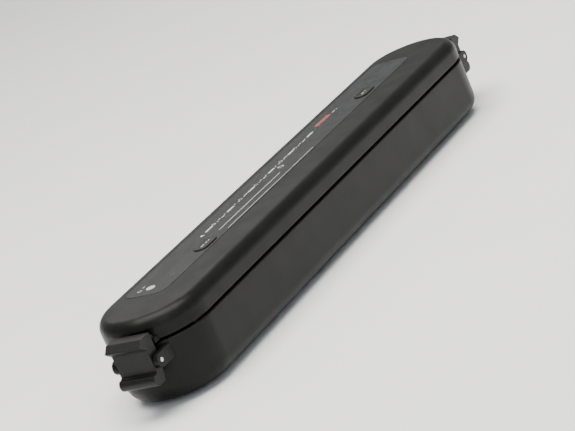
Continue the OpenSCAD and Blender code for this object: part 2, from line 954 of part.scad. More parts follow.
// The lid's shell: roof, skirt, hinge knuckles, screw bosses and the two catches
module lid_shell() {
    color("#2e302f")
        difference() {
            union() {
                difference() {
                    round_ended(end_x)
                        section(half_d, lid_z0, lid_z1, edge_round, top_round);
                    round_ended(end_x) {
                        section(
                            inner_half, plate_z1 - 1, roof_z, 0,
                            top_round - wall
                        );
                        translate([-cavity_half, lid_z0 - 1])
                            square([2 * cavity_half, plate_z1 - lid_z0 + 1]);
                    }
                    valley();
                }
                lid_knuckles();
                for (spot = plate_screw_spots)
                    translate([spot[0], spot[1], plate_z1])
                        cylinder(r = plate_boss_r, h = roof_z + 0.5 - plate_z1);
                for (side = [-1, 1])
                    block(
                        [min(side * (tip_x - 5), side * catch_x), hook_y0 - 1, lid_z0],
                        [max(side * (tip_x - 5), side * catch_x), hook_y1 + 1, catch_z1]
                    );
            }
            // Windows over the catches for the hooks
            for (side = [-1, 1])
                block(
                    [min(side * (hook_tip - 1), side * (tip_x + 1)), hook_y0 - 0.6, catch_z1],
                    [max(side * (hook_tip - 1), side * (tip_x + 1)), hook_y1 + 0.6, hook_z1 + 1.5]
                );
            hinge_bores(running_fit);
            for (spot = plate_screw_spots)
                translate([spot[0], spot[1], plate_z1 - 1])
                    cylinder(r = screw_d / 2 + held_fit, h = 5);
            // Seat for the control panel
            translate([0, panel_y, 0])
                rounded_plate(
                    [panel_length + inset_gap, panel_width + inset_gap],
                    panel_round, panel_z, lid_z1 + 1
                );
            panel_openings(roof_z - 1, lid_z1 + 1);
        }
}

// The lid's inner plate, which carries the upper gasket and the press bar
module lid_plate() {
    color("#3a3d3c")
        difference() {
            union() {
                slab(end_x, cavity_half - inset_gap, plate_z0, plate_z1);
                // Peg for the lid switch
                translate([lid_switch_x, lid_switch_y, deck_z1 + 2.5])
                    cylinder(r = 1.6, h = plate_z0 - deck_z1 - 2);
                // Pillars under the control board
                for (x = [-120, -40, 40, 98])
                    translate([x, panel_y - 4, plate_z1 - 0.5])
                        cylinder(r = 2, h = board_z0 - plate_z1 + 0.5);
            }
            for (side = [-1, 1])
                block(
                    [side * (tip_x - 2) - 5, -half_d, plate_z0 - 1],
                    [side * (tip_x - 2) + 5, half_d, plate_z1 + 1]
                );
            ring(seal_x, gasket_in, gasket_out, plate_z0 - 1, plate_z0 + groove_depth, chamber_y);
            block(
                [-heater_half, heater_y - press_width / 2, plate_z0 - 1],
                [heater_half, heater_y + press_width / 2, plate_z0 + groove_depth]
            );
            for (spot = plate_screw_spots)
                translate([spot[0], spot[1], plate_z0 - 1])
                    cylinder(r = screw_d / 2 + inset_gap, h = plate_t + 2);
            translate([harness_x, harness_y, plate_z0 - 1])
                block([-5, -1, 0], [5, 1, plate_t + 2]);
            hinge_notches(plate_z0 - 1, plate_z1 + 1);
            valley();
        }
}

module upper_gasket() {
    color("#50534f")
        ring(
            seal_x, gasket_in, gasket_out, gasket_mid + gasket_split / 2,
            plate_z0 + groove_depth, chamber_y
        );
}

// The silicone bar that presses the bag onto the strip, ribbed along its face
module press_bar() {
    z0 = tape_z1 + press_gap;
    color("#b5482f")
        difference() {
            block(
                [-heater_half + inset_gap, heater_y - press_width / 2, z0],
                [heater_half - inset_gap, heater_y + press_width / 2, plate_z0 + groove_depth]
            );
            for (side = [-1, 1])
                translate([0, heater_y + side * press_width / 6, z0])
                    block([-heater_half, -0.3, -1], [heater_half, 0.3, 0.4]);
        }
}

module control_panel() {
    color("#1d1f1f")
        difference() {
            translate([0, panel_y, 0])
                rounded_plate(
                    [panel_length, panel_width], panel_round, panel_z, lid_z1 + 0.05
                );
            panel_openings(panel_z - 1, lid_z1 + 1);
        }
}

module control_board() {
    color("#2f6b46") {
        block([-136, panel_y - 9, board_z0], [104, panel_y + 8, board_z1]);
        // Controller, connector and resistors
        block([-20, panel_y - 6, board_z1], [-8, panel_y - 1, board_z1 + 1.6]);
        block([harness_x - 6, panel_y + 3.5, board_z1], [harness_x + 4, panel_y + 7.5, board_z1 + 2.5]);
        for (i = [0 : 5])
            block(
                [4 + 5 * i, panel_y - 6, board_z1],
                [6 + 5 * i, panel_y - 4.8, board_z1 + 0.6]
            );
    }
}

// The two click switches under the push buttons
module button_switches() {
    color("#c9cccd")
        for (spot = [left_button, right_button])
            translate([spot[0], spot[1], board_z1]) {
                block([-3, -3, 0], [3, 3, switch_h]);
                cylinder(r = 1.6, h = switch_h + plunger_h);
            }
}

module light_guides() {
    color("#e8ecec")
        guide_prisms(0, board_z1 + 0.8, lid_z1 + 0.1);
}

module red_lens_window() {
    color("#c22d28")
        red_prism(0, board_z1 + 0.8, lid_z1 + 0.1);
}

module status_lens_window() {
    color("#eef2f2")
        status_prism(0, board_z1 + 0.8, lid_z1 + 0.15);
}

module lid_screws() {
    color("#6f7375")
        for (spot = plate_screw_spots)
            translate([spot[0], spot[1], plate_z0])
                screw_up(4);
}

// The flat cable that links the two boards past the hinge
module lid_harness() {
    color("#5a5d60")
        block(
            [harness_x - 4, harness_y - 0.4, deck_z0 - 6],
            [harness_x + 4, harness_y + 0.4, board_z0 - 0.1]
        );
}

// A push button: cap, retaining flange under the roof and a stem over its switch
module push_button(spot) {
    difference() {
        button_prism(spot, 0, roof_z - inset_gap, button_top);
        // Shallow finger dish along the cap
        translate([spot[0], spot[1], button_top + 12 - 0.25])
            rotate([0, 90, 0])
                translate([0, 0, -button_length])
                    cylinder(r = 12, h = 2 * button_length, $fn = 96);
    }
    button_prism(spot, 0.9, roof_z - inset_gap - flange_h, roof_z - inset_gap);
    translate([spot[0], spot[1], button_bottom])
        cylinder(r = 2.2, h = roof_z - inset_gap - button_bottom);
}

module vacuum_button() {
    color("#303332")
        push_button(left_button);
}

module seal_button() {
    color("#303332")
        push_button(right_button);
}

// The outline of a latch lever, seen from the front at the right-hand end
module lever_outline() {
    prong_r = 3;
    difference() {
        union() {
            polygon([
                [latch_back, pivot_z - 2],
                [latch_back + 2.6, latch_bottom],
                [prong_x - prong_r, latch_bottom],
                [latch_front, latch_bottom + 2 * prong_r],
                [latch_front, latch_top - 6],
                [prong_x, latch_top - 3],
                [prong_x - 3.4, latch_top],
                [latch_back, latch_top],
                [latch_back, latch_top - 1]
            ]);
            translate([prong_x - prong_r, latch_bottom + prong_r])
                circle(r = prong_r);
        }
        // Round out the corner above the lower prong
        translate([latch_front + 1.6, latch_bottom + 2 * prong_r + 1])
            circle(r = 1.6);
    }
}

// The hook at the top of a lever, which reaches in over the lid's catch
module hook_outline() {
    polygon([
        [latch_back + 1, hook_z0],
        [hook_tip, hook_z0],
        [hook_tip, hook_z0 + 0.8],
        [hook_tip + 1.2, hook_z1],
        [latch_back + 1, hook_z1]
    ]);
}

// One lever; side is 1 at the right-hand end and -1 at the left
module latch(side) {
    half = latch_width / 2;
    mirror([side > 0 ? 0 : 1, 0, 0])
        difference() {
            union() {
                along_y(latch_y - half, latch_y + half)
                    lever_outline();
                along_y(hook_y0, hook_y1)
                    hook_outline();
            }
            rod_y(
                latch_pin_d / 2 + running_fit, latch_y - half - 1, latch_y + half + 1,
                pivot_x, pivot_z
            );
            // Room for the spring
            block(
                [tip_x, latch_y - spring_gap, pivot_z - 6],
                [pivot_x + coil_r + 0.7, latch_y + spring_gap, pivot_z + 3]
            );
        }
}

module latch_left() {
    color("#313433")
        latch(-1);
}

module latch_right() {
    color("#313433")
        latch(1);
}

base_shell();
bottom_cover();
sealing_deck();
lower_gasket();
heater_bar();
heater_element();
heater_tape();
power_board();
transformer();
capacitor();
mains_inlet();
inlet_contacts();
pump_motor();
pump_head();
air_hose();
suction_nozzle();
release_valve();
vacuum_switch();
lid_switch();
heater_leads();
hinge_pins();
latch_pins();
latch_springs();
bottom_screws();
rubber_feet();
lid_shell();
lid_plate();
upper_gasket();
press_bar();
control_panel();
control_board();
button_switches();
light_guides();
red_lens_window();
status_lens_window();
lid_screws();
lid_harness();
vacuum_button();
seal_button();
latch_left();
latch_right();
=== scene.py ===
import json
import math

import bpy
from mathutils import Matrix, Vector


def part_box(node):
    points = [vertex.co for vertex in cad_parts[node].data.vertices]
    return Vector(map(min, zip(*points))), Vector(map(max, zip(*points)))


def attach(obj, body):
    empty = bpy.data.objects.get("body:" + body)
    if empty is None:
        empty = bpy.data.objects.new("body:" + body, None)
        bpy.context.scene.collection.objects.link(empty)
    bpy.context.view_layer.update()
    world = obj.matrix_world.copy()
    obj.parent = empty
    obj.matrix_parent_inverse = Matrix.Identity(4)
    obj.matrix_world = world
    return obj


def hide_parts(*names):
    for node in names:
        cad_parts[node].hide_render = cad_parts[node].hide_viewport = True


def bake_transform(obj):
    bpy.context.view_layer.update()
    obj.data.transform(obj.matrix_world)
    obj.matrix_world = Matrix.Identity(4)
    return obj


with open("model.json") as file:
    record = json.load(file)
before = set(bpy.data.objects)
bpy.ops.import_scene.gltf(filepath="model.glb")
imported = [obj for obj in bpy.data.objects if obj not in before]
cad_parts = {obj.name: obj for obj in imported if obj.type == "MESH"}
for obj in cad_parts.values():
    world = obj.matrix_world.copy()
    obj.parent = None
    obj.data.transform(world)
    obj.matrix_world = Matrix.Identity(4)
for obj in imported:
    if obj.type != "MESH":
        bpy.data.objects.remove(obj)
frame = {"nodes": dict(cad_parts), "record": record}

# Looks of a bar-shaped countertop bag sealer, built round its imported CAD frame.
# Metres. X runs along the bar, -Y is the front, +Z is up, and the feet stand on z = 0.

MM = 0.001
SMOOTH_BELOW = math.radians(40)  # faces that meet at less than this are shaded as one

for spare in ("Cube", "Light", "Camera"):
    if spare in bpy.data.objects:
        bpy.data.objects.remove(bpy.data.objects[spare])
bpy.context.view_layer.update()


# ---------------------------------------------------------------- hand tools

def select_only(*pieces):
    """Selects these pieces alone, and makes the first one active."""
    bpy.ops.object.select_all(action="DESELECT")
    for piece in pieces:
        piece.select_set(True)
    bpy.context.view_layer.objects.active = pieces[0]


def apply_modifier(piece, kind, **settings):
    """Adds one modifier with these settings and applies it."""
    select_only(piece)
    modifier = piece.modifiers.new(kind.title(), kind)
    for key, value in settings.items():
        setattr(modifier, key, value)
    bpy.ops.object.modifier_apply(modifier=modifier.name)


def apply_place(piece):
    """Moves a piece's place, turn and size into its mesh."""
    select_only(piece)
    bpy.ops.object.transform_apply(location=True, rotation=True, scale=True)


def pick(piece, kind, test):
    """Enters edit mode with only the faces or vertices that pass the test selected."""
    select_only(piece)
    bpy.ops.object.mode_set(mode="EDIT")
    bpy.ops.mesh.select_mode(type="FACE" if kind == "faces" else "VERT")
    bpy.ops.mesh.select_all(action="DESELECT")
    bpy.ops.object.mode_set(mode="OBJECT")
    for item in piece.data.polygons if kind == "faces" else piece.data.vertices:
        item.select = test(item)
    bpy.ops.object.mode_set(mode="EDIT")


def leave_edit():
    bpy.ops.object.mode_set(mode="OBJECT")


def edge_marks(mesh, angle, shortest, flat_at):
    """1 for each edge that juts outward by more than the angle, 0 for the others.
    Edges shorter than shortest, and those that lie at a height in flat_at, stay sharp."""
    face_at = {}
    for face in mesh.polygons:
        ring = list(face.vertices)
        for i, corner in enumerate(ring):
            face_at[ring[i - 1], corner] = face
    marks = []
    for edge in mesh.edges:
        start, end = edge.vertices
        one, other = face_at.get((start, end)), face_at.get((end, start))
        along = mesh.vertices[end].co - mesh.vertices[start].co
        keep = one is not None and other is not None and along.length > shortest
        if keep:
            bend = one.normal.angle(other.normal, 0)
            keep = bend > math.radians(angle) and one.normal.cross(other.normal).dot(along) > 0
        heights = [mesh.vertices[corner].co.z for corner in edge.vertices]
        if any(all(abs(z - flat) < 0.01 for z in heights) for flat in flat_at):
            keep = False
        marks.append(1.0 if keep else 0.0)
    return marks


def round_edges(piece, width, segments=2, angle=35, shortest=0.0, flat_at=()):
    """Breaks the outward edges, as a mould or a file leaves them, and shades the piece smooth.
    The mesh is in millimetres meanwhile, because the operators' own tolerances suit that size."""
    piece.data.transform(Matrix.Scale(1 / MM, 4))
    marks = edge_marks(piece.data, angle, shortest, flat_at)
    weights = piece.data.attributes.new("bevel_weight_edge", "FLOAT", "EDGE")
    weights.data.foreach_set("value", marks)
    apply_modifier(
        piece, "BEVEL",
        width=width, segments=segments, limit_method="WEIGHT",
        use_clamp_overlap=False, miter_outer="MITER_ARC",
    )
    bpy.ops.object.shade_smooth_by_angle(angle=SMOOTH_BELOW)
    apply_modifier(piece, "WEIGHTED_NORMAL", keep_sharp=True, weight=60)
    piece.data.transform(Matrix.Scale(MM, 4))


def copy_of(node, name):
    """A merged copy of a CAD node's mesh, as a piece of its own."""
    source = frame["nodes"][node]
    piece = bpy.data.objects.new(name, source.data.copy())
    bpy.context.scene.collection.objects.link(piece)
    select_only(piece)
    bpy.ops.mesh.customdata_custom_splitnormals_clear()
    piece.data.transform(Matrix.Scale(1 / MM, 4))
    bpy.ops.object.mode_set(mode="EDIT")
    bpy.ops.mesh.select_all(action="SELECT")
    bpy.ops.mesh.remove_doubles(threshold=0.001)
    bpy.ops.mesh.dissolve_limited(angle_limit=math.radians(0.6))
    leave_edit()
    piece.data.transform(Matrix.Scale(MM, 4))
    return piece


def own_copy(piece, name, offset=(0, 0, 0)):
    """Another of the same piece, with its own mesh, set down at an offset."""
    other = bpy.data.objects.new(name, piece.data.copy())
    bpy.context.scene.collection.objects.link(other)
    other.data.transform(Matrix.Translation(Vector(offset)))
    return other


def joined(name, pieces):
    """Several pieces made into one mesh."""
    select_only(*pieces)
    if len(pieces) > 1:
        bpy.ops.object.join()
    pieces[0].name = name
    return pieces[0]


def settle(piece, body, slot, material, *nodes):
    """Gives a finished piece its finish and sets it on its body in place of its nodes; the slot is not
    used.
    """
    piece.data.name = piece.name
    piece.data.materials.clear()
    piece.data.materials.append(material)
    if nodes:
        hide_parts(*nodes)
    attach(piece, body)
    return piece


# ---------------------------------------------------------------- finishes

def colour(code):
    """An sRGB hex colour as the linear one that a shader takes."""
    channels = [int(code[i:i + 2], 16) / 255 for i in (1, 3, 5)]
    return [c / 12.92 if c <= 0.04045 else ((c + 0.055) / 1.055) ** 2.4 for c in channels] + [1]


def every(mm):
    """The scale of a noise or cell pattern whose marks are about this many millimetres across."""
    return 1 / (mm * MM)


def wave_every(mm):
    """The scale of a wave pattern that repeats at this many millimetres."""
    return 2 * math.pi / 20 / (mm * MM)


def add_node(tree, kind, options=(), values=(), links=()):
    """Adds one node: its own options, its plain input values and what feeds its inputs."""
    node = tree.nodes.new(kind)
    for key, value in dict(options).items():
        setattr(node, key, value)
    for socket, value in dict(values).items():
        node.inputs[socket].default_value = value
    for socket, source in dict(links).items():
        tree.links.new(source, node.inputs[socket])
    return node


def start_finish(name, base, roughness, constants=()):
    """A new material; gives back itself, its tree, its shader and the object's coordinates."""
    material = bpy.data.materials.new(name)
    material.use_nodes = True
    tree = material.node_tree
    shader = tree.nodes["Principled BSDF"]
    shader.inputs["Base Color"].default_value = colour(base)
    shader.inputs["Roughness"].default_value = roughness
    for socket, value in dict(constants).items():
        shader.inputs[socket].default_value = value
    place = add_node(tree, "ShaderNodeTexCoord").outputs["Object"]
    return material, tree, shader, place


def haze(tree, shader, place, size, low, high):
    """Cloudy patches of duller and shinier surface, as handling and cooling leave."""
    cloud = add_node(
        tree, "ShaderNodeTexNoise", values={"Scale": every(size), "Detail": 4}, links={"Vector": place}
    )
    spread = add_node(
        tree, "ShaderNodeMapRange",
        values={"From Min": 0.3, "From Max": 0.7, "To Min": low, "To Max": high},
        links={"Value": cloud.outputs["Fac"]},
    )
    tree.links.new(spread.outputs["Result"], shader.inputs["Roughness"])


def tones(tree, shader, place, size, one, other, detail=3):
    """A slow drift between two colours; gives back the mixed colour."""
    cloud = add_node(
        tree, "ShaderNodeTexNoise",
        values={"Scale": every(size), "Detail": detail}, links={"Vector": place},
    )
    spread = add_node(
        tree, "ShaderNodeMapRange",
        values={"From Min": 0.35, "From Max": 0.65}, links={"Value": cloud.outputs["Fac"]},
    )
    mixed = add_node(
        tree, "ShaderNodeMix", {"data_type": "RGBA"},
        {"A": colour(one), "B": colour(other)}, {"Factor": spread.outputs["Result"]},
    )
    tree.links.new(mixed.outputs["Result"], shader.inputs["Base Color"])
    return mixed.outputs["Result"]


def relief(tree, shader, height, depth, strength=1.0):
    """Raises the surface where height is high, on top of any relief there already."""
    under = shader.inputs["Normal"].links
    bump = add_node(
        tree, "ShaderNodeBump", values={"Strength": strength, "Distance": depth * MM},
        links={"Height": height},
    )
    if under:
        tree.links.new(under[0].from_socket, bump.inputs["Normal"])
    tree.links.new(bump.outputs["Normal"], shader.inputs["Normal"])


def moulded(name, base, tone, roughness, grain, depth, constants=()):
    """Injection-moulded plastic: faint flow clouds, a spark-eroded grain and a little haze."""
    material, tree, shader, place = start_finish(name, base, roughness, {"IOR": 1.53, **dict(constants)})
    tones(tree, shader, place, 26, base, tone)
    haze(tree, shader, place, 14, roughness - 0.03, roughness + 0.04)
    skin = add_node(
        tree, "ShaderNodeTexNoise",
        values={"Scale": every(grain), "Detail": 2, "Roughness": 0.6}, links={"Vector": place},
    )
    relief(tree, shader, skin.outputs["Fac"], depth)
    return material


def worked_metal(name, base, roughness, marks, depth=0.01, constants=()):
    """Drawn, rolled or plated metal: fine marks, each as long along X, Y and Z as marks says."""
    material, tree, shader, place = start_finish(name, base, roughness, {"Metallic": 1, **dict(constants)})
    stretched = add_node(
        tree, "ShaderNodeMapping", values={"Scale": [every(size) for size in marks]},
        links={"Vector": place},
    )
    streaks = add_node(
        tree, "ShaderNodeTexNoise", values={"Scale": 1, "Detail": 3},
        links={"Vector": stretched.outputs["Vector"]},
    )
    spread = add_node(
        tree, "ShaderNodeMapRange",
        values={"From Min": 0.3, "From Max": 0.7, "To Min": roughness - 0.08, "To Max": roughness + 0.12},
        links={"Value": streaks.outputs["Fac"]},
    )
    tree.links.new(spread.outputs["Result"], shader.inputs["Roughness"])
    relief(tree, shader, streaks.outputs["Fac"], depth)
    return material


# Polished-mould ABS in charcoal black: soft broad reflections, a faint orange peel
abs_housing = moulded(
    "moulded_black_abs", "#0e0f0e", "#121311", 0.38, 1.1, 0.02, {"Specular IOR Level": 0.13}
)
# The same resin from a finer-grained mould, slightly duller
abs_cover = moulded(
    "grained_black_abs", "#0f1010", "#141514", 0.52, 0.8, 0.05, {"Specular IOR Level": 0.13}
)
abs_deck = moulded("satin_charcoal_abs", "#1c1e1d", "#212322", 0.44, 0.8, 0.03)
abs_latch = moulded(
    "satin_black_abs", "#0f100f", "#131413", 0.42, 0.9, 0.03, {"Specular IOR Level": 0.2}
)
abs_button = moulded(
    "button_black_abs", "#141514", "#191a19", 0.38, 0.8, 0.02, {"Specular IOR Level": 0.2}
)
# Glass-filled nylon: matt, with a dry speckled skin
nylon_inlet = moulded("black_filled_nylon", "#131414", "#1a1b1b", 0.58, 0.6, 0.04)
nylon_natural = moulded(
    "natural_nylon", "#dcdcd2", "#e6e5dc", 0.42, 1.2, 0.02,
    {"Subsurface Weight": 0.2, "Subsurface Scale": 0.002, "Subsurface Radius": (1, 0.9, 0.7)},
)
nylon_cream = moulded("cream_nylon", "#d3cba6", "#dcd5b4", 0.45, 1.0, 0.02)
phenolic_switch = moulded("dark_phenolic", "#1a2531", "#202c39", 0.4, 0.8, 0.02)
# Compression-moulded rubber: dull, with a chalky bloom
rubber = moulded("black_rubber", "#161716", "#1f201f", 0.82, 0.7, 0.06, {"Specular IOR Level": 0.3})
silicone_red = moulded(
    "red_silicone", "#8f3324", "#9c3c2b", 0.55, 1.4, 0.03,
    {"Subsurface Weight": 0.15, "Subsurface Scale": 0.002, "Subsurface Radius": (1, 0.3, 0.2)},
)
silicone_milky = moulded(
    "milky_silicone", "#c3c9c6", "#d2d7d4", 0.4, 1.6, 0.02,
    {"Subsurface Weight": 0.5, "Subsurface Scale": 0.003, "Subsurface Radius": (1, 1, 0.9)},
)
nylon_black = moulded("black_nylon", "#101111", "#161717", 0.46, 0.9, 0.02)
terminal_green = moulded("green_terminal_nylon", "#1f6a4c", "#257657", 0.4, 0.9, 0.02)
wire_red = moulded("red_silicone_wire", "#9b2b25", "#a9352e", 0.48, 1.0, 0.02)
sleeve_blue = moulded("blue_shrink_sleeve", "#1b2c4c", "#23365a", 0.28, 2.0, 0.02)
ribbon_grey = moulded("grey_ribbon_pvc", "#55585b", "#606366", 0.42, 1.0, 0.02)

# Ground bright steel of the hinge pins: long fine marks along X
steel_pin = worked_metal("bright_pin_steel", "#c3c6c8", 0.26, (6, 0.3, 0.3))
# Ground bright steel of the latch pins: the marks run along Y
steel_pin_y = worked_metal("bright_latch_pin_steel", "#c0c3c5", 0.26, (0.3, 6, 0.3))
# Hard-drawn spring wire: greyer than the pins
steel_spring = worked_metal("drawn_spring_steel", "#9ea2a5", 0.32, (0.5, 0.5, 0.5), 0.004)
# Black-zinc screws: a dark plate, shinier in places
steel_screw = worked_metal("black_zinc_screws", "#5c5f61", 0.38, (0.6, 0.6, 0.6), 0.006)
# Rolled and zinc-plated steel can: soft cloudy bands round the motor
steel_motor = worked_metal("plated_motor_can", "#a7abad", 0.34, (0.5, 5, 5), 0.006)
steel_yoke = worked_metal("plated_valve_yoke", "#8d9194", 0.36, (3, 0.5, 0.5), 0.006)
plate_nickel = worked_metal("nickel_plated_brass", "#b8b4a4", 0.24, (0.4, 3, 0.4), 0.003)
# Extruded aluminium of the heat sink: the draw marks run up its fins
heat_sink = worked_metal("extruded_aluminium", "#b4b6b8", 0.4, (0.4, 0.4, 5), 0.006)
# Enamelled copper wire of the choke: fine turns that run up and down
choke_copper = worked_metal("enamelled_copper", "#a8622f", 0.3, (0.5, 0.5, 4), 0.02)
tin_switch = worked_metal("tinned_switch_cover", "#c9cccd", 0.33, (0.5, 2, 0.5), 0.004)
# Rolled resistance ribbon, heat-tinted slightly warm
ribbon_nichrome = worked_metal("rolled_nichrome", "#b3aea6", 0.34, (12, 0.25, 0.25), 0.003)


def foam_finish():
    """Closed-cell rubber foam: dull grey-black, pitted with cells 0.9 mm across."""
    material, tree, shader, place = start_finish(
        "closed_cell_foam", "#3f413e", 0.9, {"Specular IOR Level": 0.25}
    )
    tones(tree, shader, place, 5, "#393b38", "#494b47", 5)
    cells = add_node(
        tree, "ShaderNodeTexVoronoi", {"feature": "SMOOTH_F1"},
        {"Scale": every(0.9), "Smoothness": 0.4}, {"Vector": place},
    )
    relief(tree, shader, cells.outputs["Distance"], 0.18, 0.8)
    return material


def board_phenolic_finish():
    """Paper-phenolic heater bar: tan, with darker fibres that run along it."""
    material, tree, shader, place = start_finish("tan_phenolic", "#b39468", 0.5, {"IOR": 1.55})
    drawn = add_node(
        tree, "ShaderNodeMapping", values={"Scale": (every(14), every(0.5), every(0.5))},
        links={"Vector": place},
    )
    fibres = add_node(
        tree, "ShaderNodeTexNoise", values={"Scale": 1, "Detail": 5},
        links={"Vector": drawn.outputs["Vector"]},
    )
    mixed = add_node(
        tree, "ShaderNodeMix", {"data_type": "RGBA"},
        {"A": colour("#96784f"), "B": colour("#c4a578")}, {"Factor": fibres.outputs["Fac"]},
    )
    tree.links.new(mixed.outputs["Result"], shader.inputs["Base Color"])
    relief(tree, shader, fibres.outputs["Fac"], 0.03)
    return material


def tape_finish():
    """Non-stick glass-cloth tape: brown, slightly waxy, with a plain weave.
    Its real threads are 0.5 mm apart; they are drawn 1 mm apart so that they show."""
    material, tree, shader, place = start_finish("coated_glass_tape", "#8d8062", 0.4, {"IOR": 1.38})
    warp = add_node(
        tree, "ShaderNodeTexWave", {"wave_type": "BANDS", "bands_direction": "X"},
        {"Scale": wave_every(1.0)}, {"Vector": place},
    )
    weft = add_node(
        tree, "ShaderNodeTexWave", {"wave_type": "BANDS", "bands_direction": "Y"},
        {"Scale": wave_every(1.0)}, {"Vector": place},
    )
    over = add_node(
        tree, "ShaderNodeMath", {"operation": "MULTIPLY"},
        links={0: warp.outputs["Fac"], 1: weft.outputs["Fac"]},
    )
    mixed = add_node(
        tree, "ShaderNodeMix", {"data_type": "RGBA"},
        {"A": colour("#7a6d50"), "B": colour("#a39676")}, {"Factor": over.outputs["Value"]},
    )
    tree.links.new(mixed.outputs["Result"], shader.inputs["Base Color"])
    relief(tree, shader, over.outputs["Value"], 0.06)
    return material


def circuit_finish():
    """Green solder mask over copper: paler tracks, tin pads and a varnish gloss."""
    material, tree, shader, place = start_finish("green_circuit_board", "#1f5a38", 0.3, {"IOR": 1.5})
    tracks = add_node(
        tree, "ShaderNodeTexBrick", {"offset": 0.35, "squash": 0.6},
        {
            "Color1": colour("#1c5233"), "Color2": colour("#205c3a"), "Mortar": colour("#3b8a58"),
            "Scale": every(8), "Mortar Size": 0.035, "Brick Width": 0.9, "Row Height": 0.3,
        },
        {"Vector": place},
    )
    pads = add_node(
        tree, "ShaderNodeTexVoronoi", values={"Scale": every(3.5), "Randomness": 0.4},
        links={"Vector": place},
    )
    dots = add_node(
        tree, "ShaderNodeMath", {"operation": "LESS_THAN"}, {1: 0.16}, {0: pads.outputs["Distance"]}
    )
    mixed = add_node(
        tree, "ShaderNodeMix", {"data_type": "RGBA"}, {"B": colour("#b9bdb6")},
        {"Factor": dots.outputs["Value"], "A": tracks.outputs["Color"]},
    )
    tree.links.new(mixed.outputs["Result"], shader.inputs["Base Color"])
    relief(tree, shader, tracks.outputs["Fac"], 0.03)
    return material


def winding_finish():
    """Amber polyester tape round a winding: slightly glossy, with turns 1 mm apart."""
    material, tree, shader, place = start_finish("amber_winding_tape", "#b98f2e", 0.3, {"IOR": 1.6})
    turns = add_node(
        tree, "ShaderNodeTexWave", {"wave_type": "BANDS", "bands_direction": "Z"},
        {"Scale": wave_every(1.0), "Distortion": 0.6}, {"Vector": place},
    )
    mixed = add_node(
        tree, "ShaderNodeMix", {"data_type": "RGBA"},
        {"A": colour("#a67c22"), "B": colour("#c9a03c")}, {"Factor": turns.outputs["Fac"]},
    )
    tree.links.new(mixed.outputs["Result"], shader.inputs["Base Color"])
    relief(tree, shader, turns.outputs["Fac"], 0.05)
    return material


def panel_finish():
    """Back-printed polycarbonate: deep black under gloss, with faint smears and specks of dust."""
    material, tree, shader, place = start_finish(
        "printed_polycarbonate", "#0c0d0c", 0.2, {"IOR": 1.58, "Specular IOR Level": 0.22}
    )
    haze(tree, shader, place, 14, 0.16, 0.3)
    dust = add_node(
        tree, "ShaderNodeTexNoise", values={"Scale": every(0.9), "Detail": 1}, links={"Vector": place}
    )
    specks = add_node(
        tree, "ShaderNodeMapRange", values={"From Min": 0.76, "From Max": 0.86, "To Max": 0.2},
        links={"Value": dust.outputs["Fac"]},
    )
    mixed = add_node(
        tree, "ShaderNodeMix", {"data_type": "RGBA"},
        {"A": colour("#0c0d0c"), "B": colour("#4a4b48")}, {"Factor": specks.outputs["Result"]},
    )
    tree.links.new(mixed.outputs["Result"], shader.inputs["Base Color"])
    return material


def lens_finish(name, base, deep, weight):
    """Tinted acrylic light pipe: saturated, wet-looking, a little light carried inside it."""
    material, tree, shader, place = start_finish(
        name, base, 0.16,
        {"IOR": 1.49, "Subsurface Weight": weight, "Subsurface Scale": 0.002, "Coat Weight": 0.4},
    )
    tones(tree, shader, place, 2.5, base, deep)
    ribs = add_node(
        tree, "ShaderNodeTexWave", {"wave_type": "BANDS", "bands_direction": "X"},
        {"Scale": wave_every(0.8)}, {"Vector": place},
    )
    relief(tree, shader, ribs.outputs["Fac"], 0.02)
    return material


foam = foam_finish()
phenolic_tan = board_phenolic_finish()
tape_brown = tape_finish()
circuit_green = circuit_finish()
winding_amber = winding_finish()
panel_black = panel_finish()
lens_red = lens_finish("red_acrylic", "#a32a24", "#7a1712", 0.3)
lens_clear = lens_finish("milky_acrylic", "#c6cbc9", "#aeb3b1", 0.5)
# Screen-printed white ink: thin, opaque and slightly chalky. The same white also draws the painted
# highlight line along the panel's front edge
white_ink_and_highlight = moulded("white_screen_ink", "#bfc1bd", "#adb0ab", 0.6, 0.6, 0.01)


# ---------------------------------------------------------------- CAD nodes with broken edges

bodies = frame["record"]["behaviour"]["bodies"]
body_of_node = {node: body for body, members in bodies.items() for node in members}

